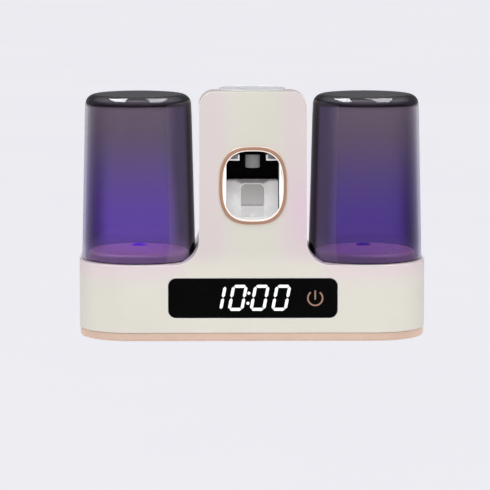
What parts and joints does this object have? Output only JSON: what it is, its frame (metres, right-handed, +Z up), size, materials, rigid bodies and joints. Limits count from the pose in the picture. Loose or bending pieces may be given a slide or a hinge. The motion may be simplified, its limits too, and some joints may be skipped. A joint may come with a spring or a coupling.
{
  "type": "toothbrush sterilizer",
  "caption": "Wall-mounted toothbrush sterilizer: wide tray with brush slots, clock display, two smoked cups and a toothpaste dispenser column.",
  "frame": {"origin": "middle of the adhesive pad's back face, on the wall", "axes": "+X to the viewer's right, +Y into the wall, +Z up"},
  "size_m": [0.25, 0.0903, 0.179],
  "materials": {
    "cream_shell": "satin moulded",
    "rose_metal": "satin rose plated",
    "display_glass": "black gloss",
    "smoked_cup": "clear smoked",
    "frosted_seat": "frosted translucent",
    "lamp_lens": "lit violet lens",
    "white_plastic": "satin",
    "black_plastic": "matt",
    "grey_plastic": "satin",
    "grey_silicone": "matt",
    "foam_pad": "foam tape",
    "circuit_board": "solder mask",
    "steel": "plated",
    "cell_wrap": "shrink wrap"
  },
  "bodies": {
    "wall_mount": {"wall_plate": "white_plastic", "adhesive_pad": "foam_pad"},
    "housing": {"front_shell": "cream_shell", "rear_shell": "cream_shell", "base_trim": "rose_metal", "bottom_cover": "cream_shell", "window_ring": "rose_metal", "display_lens": "display_glass", "display_board": "circuit_board", "touch_spring": "steel", "main_board": "circuit_board", "usb_socket": "steel", "battery_left": "cell_wrap", "battery_right": "cell_wrap", "battery_holder": "black_plastic", "cup_seat_left": "frosted_seat", "cup_seat_right": "frosted_seat", "uv_lens_left": "lamp_lens", "uv_lens_right": "lamp_lens", "cup_uv_board_left": "circuit_board", "cup_uv_board_right": "circuit_board", "fan_frame_left": "black_plastic", "fan_frame_right": "black_plastic", "brush_chamber_left": "white_plastic", "brush_chamber_right": "white_plastic", "brush_uv_board_left": "circuit_board", "brush_uv_board_right": "circuit_board", "brush_grip_1": "grey_silicone", "brush_grip_2": "grey_silicone", "brush_grip_3": "grey_silicone", "brush_grip_4": "grey_silicone", "dispenser_frame": "white_plastic", "pump_body": "black_plastic", "pump_bladder": "grey_silicone", "nozzle": "grey_plastic", "lever_pin": "steel", "lever_spring": "steel", "inlet_seal": "grey_silicone", "tube_socket": "white_plastic", "rear_screw_1": "steel", "rear_screw_2": "steel", "rear_screw_3": "steel", "rear_screw_4": "steel", "bottom_screw_1": "steel", "bottom_screw_2": "steel", "bottom_screw_3": "steel", "bottom_screw_4": "steel"},
    "left_cup": {"cup_left": "smoked_cup"},
    "right_cup": {"cup_right": "smoked_cup"},
    "lever": {"press_lever": "white_plastic"},
    "left_rotor": {"fan_rotor_left": "grey_plastic"},
    "right_rotor": {"fan_rotor_right": "grey_plastic"}
  },
  "joints": [
    {"name": "housing_lift", "type": "slide", "parent": "wall_mount", "child": "housing", "axis": [0, 0, 1], "range_m": [0, 0.009]},
    {"name": "left_cup_lift", "type": "slide", "parent": "housing", "child": "left_cup", "axis": [0, 0, 1], "range_m": [0, 0.13]},
    {"name": "right_cup_lift", "type": "slide", "parent": "housing", "child": "right_cup", "axis": [0, 0, 1], "range_m": [0, 0.13]},
    {"name": "lever_press", "type": "hinge", "parent": "housing", "child": "lever", "pos_m": [0, -0.079, -0.01525], "axis": [-1, 0, 0], "range_deg": [0, 10], "stiffness_Nm_per_rad": 0.3, "springref_deg": -5.73, "deforming": ["lever_spring", "pump_bladder"]},
    {"name": "left_fan_spin", "type": "hinge", "parent": "housing", "child": "left_rotor", "pos_m": [-0.0822, -0.046, -0.0548], "axis": [0, 0, 1], "continuous": true},
    {"name": "right_fan_spin", "type": "hinge", "parent": "housing", "child": "right_rotor", "pos_m": [0.0822, -0.046, -0.0548], "axis": [0, 0, 1], "continuous": true}
  ]
}
